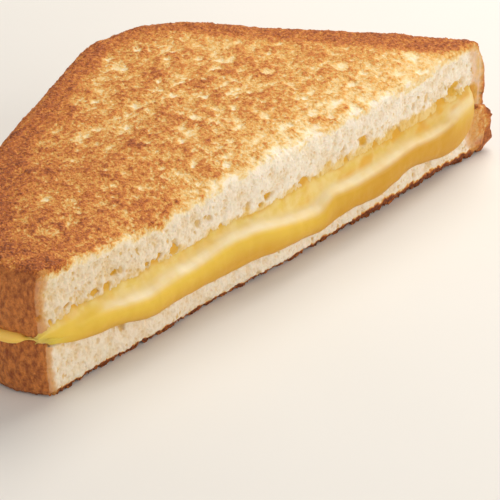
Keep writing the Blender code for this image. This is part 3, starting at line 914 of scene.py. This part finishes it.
def bakedBread():
    # white loaf fried in butter: matt, a little translucent crumb, browned where the pan touched
    material, tree, shader, place = newMaterial("butterFriedWhiteBread")
    names = ("toasting", "crust", "hollow", "stain")
    toasting, crust, hollow, stain = (shareOf(tree, name) for name in names)

    # the pan browns the walls between the pores more than the hollows
    bend = noiseOf(tree, place, breadLook["cellBend"], 2.0, output="Color")
    scaled = {0: bend, "Scale": breadLook["cellBendBy"]}
    bent = addNode(tree, "ShaderNodeVectorMath", scaled, operation="SCALE").outputs[0]
    bentPlace = addNode(tree, "ShaderNodeVectorMath", {0: place, 1: bent}, operation="ADD").outputs[0]
    pattern = {"Vector": bentPlace, "Scale": 1 / breadLook["cells"]}
    cells = addNode(tree, "ShaderNodeTexVoronoi", pattern, feature="DISTANCE_TO_EDGE")
    walls = mapOf(tree, cells.outputs["Distance"], 0.0, 0.38, to=(0.05, -0.08))
    grain = noiseOf(tree, place, breadLook["grain"], 4.0, 0.55)
    coarse = mathOf(tree, "ADD", mathOf(tree, "MULTIPLY_ADD", grain, 1.0, -0.515), walls)
    # the darker end of the toast is the grainier one
    sugar = noiseOf(tree, place, breadLook["sugar"], 2.0)
    alongX = addNode(tree, "ShaderNodeSeparateXYZ", {"Vector": place}).outputs["X"]
    grainier = mapOf(tree, alongX, -60 * mm, 40 * mm, to=(0.75, 0.0))
    specks = mathOf(tree, "MULTIPLY_ADD", mathOf(tree, "ADD", sugar, -0.5), grainier, coarse)
    onlyToast = mapOf(tree, toasting, 0.05, 0.4)
    level = mathOf(tree, "MULTIPLY_ADD", specks, onlyToast, toasting)
    ramp = addNode(tree, "ShaderNodeValToRGB", {"Fac": level})
    elements = ramp.color_ramp.elements
    while len(elements) < len(toastRamp):
        elements.new(0.5)
    for element, (position, colour) in zip(elements, toastRamp):
        element.position = position
        element.color = linearColour(colour)

    # crumb: upright fibres, darker in between
    stretched = {"Vector": place, "Scale": breadLook["fibreUpright"]}
    upright = addNode(tree, "ShaderNodeMapping", stretched).outputs[0]
    fibres = noiseOf(tree, upright, breadLook["fibre"], 3.0, 0.6)
    fibreShare = mapOf(tree, fibres, 0.38, 0.66, to=(0.0, 0.45))
    tone = mixColours(tree, fibreShare, toastColours["crumb"], toastColours["crumbShade"])
    tone = mixColours(tree, stain, tone, toastColours["stain"])
    # the hollows and pores darker: painted shade where the crumb lies deeper, golden where cheese has
    # stained them
    poreTone = mixColours(tree, stain, toastColours["pore"], toastColours["cheesePore"])
    tone = mixColours(tree, hollow, tone, poreTone)
    tone = mixColours(tree, mapOf(tree, level, 0.0, 0.12), tone, ramp.outputs["Color"])
    mottle = mapOf(tree, noiseOf(tree, upright, breadLook["mottle"], 5.0, 0.65), 0.38, 0.64)
    crustTone = mixColours(tree, mottle, toastColours["crustPale"], toastColours["crustDark"])
    tone = mixColours(tree, crust, tone, crustTone)
    rimTone = mixColours(tree, crust, toastColours["rimPale"], toastColours["rimDark"])
    rimShare = mathOf(tree, "MULTIPLY", shareOf(tree, "crustRim"), 0.85)
    tree.links.new(mixColours(tree, rimShare, tone, rimTone), shader.inputs["Base Color"])

    relief = mathOf(tree, "MULTIPLY_ADD", sugar, 0.5, mathOf(tree, "ADD", grain, fibres))
    bumpDepth = mapOf(tree, toasting, 0.1, 0.5, to=(breadLook["crumbBump"], breadLook["toastBump"]))
    bump = addNode(tree, "ShaderNodeBump", {"Height": relief, "Strength": 0.9, "Distance": bumpDepth})
    tree.links.new(bump.outputs["Normal"], shader.inputs["Normal"])
    # butter leaves the toasted side a little shiny, the crumb is dull
    gloss = mapOf(tree, toasting, 0.1, 0.5, to=(breadLook["crumbRoughness"], breadLook["toastRoughness"]))
    tree.links.new(gloss, shader.inputs["Roughness"])
    shader.inputs["Specular IOR Level"].default_value = breadLook["specular"]
    shader.inputs["Subsurface Weight"].default_value = breadLook["subsurface"]
    shader.inputs["Subsurface Radius"].default_value = breadLook["subsurfaceRadius"]
    shader.inputs["Subsurface Scale"].default_value = breadLook["subsurfaceScale"]
    return material


cheeseLook = {
    "light": "e9c648",
    "middle": "e1b83e",
    "under": "d4a02e",          # painted shade on the lower side of the roll
    "film": "eed38c",           # thin over the crumb, which shines through
    "rich": "c99114",
    # painted highlight along the crest of the roll
    "crest": "efdfb8",
    # partly painted light: paler and brighter than the roll, to make up for the shade the bead sits in
    "bead": "f7c95f",
    "inPores": "e2a834",
    "clouds": 7 * mm,
    "streaks": 2.2 * mm,
    "bumpDepth": 0.4 * mm,
    "roughness": (0.40, 0.5),   # of the roll and of the film
    "specular": 0.32,
    "subsurface": 0.4,
    "subsurfaceRadius": (1.0, 0.62, 0.2),
    "subsurfaceScale": 2.0 * mm,
}


def meltedCheeseMaterial():
    # melted processed cheese: smooth and wet looking, with light that goes in under the surface
    material, tree, shader, place = newMaterial("meltedAmericanCheese")
    film = shareOf(tree, "film")
    clouds = noiseOf(tree, place, cheeseLook["clouds"], 2.0)
    tone = mixColours(tree, clouds, cheeseLook["light"], cheeseLook["middle"])
    # painted shade on the lower side of the roll
    tone = mixColours(tree, shareOf(tree, "under"), tone, cheeseLook["under"])
    streaks = noiseOf(tree, place, cheeseLook["streaks"], 3.0)
    filmShare = mathOf(tree, "MULTIPLY", mapOf(tree, streaks, 0.38, 0.62, to=(0.3, 0.85)), film)
    tone = mixColours(tree, filmShare, tone, cheeseLook["film"])
    # crest paints a highlight along the roll, and bead is paler in part as painted light
    for name in ("rich", "crest", "bead", "inPores"):
        tone = mixColours(tree, shareOf(tree, name), tone, cheeseLook[name])
    tree.links.new(tone, shader.inputs["Base Color"])
    dull = mapOf(tree, film, 0.0, 1.0, to=cheeseLook["roughness"])
    tree.links.new(dull, shader.inputs["Roughness"])
    relief = {"Height": streaks, "Strength": 0.3, "Distance": cheeseLook["bumpDepth"]}
    bump = addNode(tree, "ShaderNodeBump", relief)
    tree.links.new(bump.outputs["Normal"], shader.inputs["Normal"])
    shader.inputs["Specular IOR Level"].default_value = cheeseLook["specular"]
    shader.inputs["Subsurface Weight"].default_value = cheeseLook["subsurface"]
    shader.inputs["Subsurface Radius"].default_value = cheeseLook["subsurfaceRadius"]
    shader.inputs["Subsurface Scale"].default_value = cheeseLook["subsurfaceScale"]
    return material


breadMaterial = bakedBread()
cheeseMaterial = meltedCheeseMaterial()
upperSlice.data.materials.append(breadMaterial)
lowerSlice.data.materials.append(breadMaterial)
meltedCheese.data.materials.append(cheeseMaterial)
print("materials made")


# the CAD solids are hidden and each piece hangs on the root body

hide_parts("upper_bread_slice")
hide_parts("lower_bread_slice")
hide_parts("melted_cheese")
slotNames = ((upperSlice, "toasted_bread"), (lowerSlice, "toasted_bread"), (meltedCheese, "melted_cheese"))
for piece, slotName in slotNames:
    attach(piece, "root")


# floor, lights and camera

stage = {
    "floorSize": 3.0,
    "floorTones": ("e6e3dd", "ebe8e3"),
    "floorCloud": 60 * mm,
    "floorRoughness": 0.7,
    "lightColour": "fff9f1",
    "lightDistance": 0.55,
    "skyColour": "f6f5f4",
    "skyStrength": 0.40,
}

lights = {                  # seen from the middle of the sandwich
    "key": {"direction": (0.62, 0.12, 0.78), "power": 2.5, "size": 0.42},
    "fill": {"direction": (0.20, -0.90, 0.38), "power": 1.35, "size": 0.5},
    "bounce": {"direction": (-1.0, 0.10, 0.22), "power": 0.62, "size": 0.4},
}


def makeFloor():
    skin = bmesh.new()
    bmesh.ops.create_grid(skin, x_segments=8, y_segments=8, size=stage["floorSize"] / 2)
    mesh = bpy.data.meshes.new("floor")
    skin.to_mesh(mesh)
    skin.free()
    floor = bpy.data.objects.new("floor", mesh)
    bpy.context.scene.collection.objects.link(floor)
    # even and pale, so that it adds no pattern
    material, tree, shader, place = newMaterial("mattPaleLaminate")
    tone = mixColours(tree, noiseOf(tree, place, stage["floorCloud"], 2.0), *stage["floorTones"])
    tree.links.new(tone, shader.inputs["Base Color"])
    shader.inputs["Roughness"].default_value = stage["floorRoughness"]
    mesh.materials.append(material)


def makeLight(name, aim, direction, power, size):
    light = bpy.data.lights.new(name, "AREA")
    light.shape = "DISK"
    light.size = size
    light.energy = power
    light.color = linearColour(stage["lightColour"])[:3]
    holder = bpy.data.objects.new(name, light)
    bpy.context.scene.collection.objects.link(holder)
    way = Vector(direction).normalized()
    holder.location = aim + way * stage["lightDistance"]
    holder.rotation_euler = way.to_track_quat("Z", "Y").to_euler()


def makeWorld():
    world = bpy.data.worlds.new("softbox room")
    world.use_nodes = True
    background = world.node_tree.nodes["Background"]
    background.inputs["Color"].default_value = linearColour(stage["skyColour"])
    background.inputs["Strength"].default_value = stage["skyStrength"]
    bpy.context.scene.world = world


cameraSet = {
    "aimShare": (0.3994, -0.0264, 0.460),   # of the whole box, from its lowest corner
    "distance": 504.2 * mm,
    "turn": -45.40,
    "elevation": 32.0,
    "roll": -0.945,
    "lens": 167.6,
    "sensor": 36.0,
    "clipStart": 0.01,
}


def makeCamera():
    low, high = cadBox
    aim = Vector([low[i] + (high[i] - low[i]) * cameraSet["aimShare"][i] for i in range(3)])
    camera = bpy.data.cameras.new("camera")
    camera.lens = cameraSet["lens"]
    camera.sensor_width = cameraSet["sensor"]
    camera.clip_start = cameraSet["clipStart"]
    holder = bpy.data.objects.new("camera", camera)
    bpy.context.scene.collection.objects.link(holder)
    level = Euler((math.radians(90 - cameraSet["elevation"]), 0.0, math.radians(cameraSet["turn"])))
    turned = level.to_quaternion() @ Quaternion((0, 0, 1), math.radians(cameraSet["roll"]))
    holder.rotation_mode = "QUATERNION"
    holder.rotation_quaternion = turned
    holder.location = aim + turned @ Vector((0, 0, cameraSet["distance"]))
    bpy.context.scene.camera = holder


makeFloor()
for name, values in lights.items():
    makeLight(name, (cadBox[0] + cadBox[1]) / 2, **values)
makeWorld()
bpy.context.scene.view_settings.view_transform = "Standard"
makeCamera()
print("stage set")
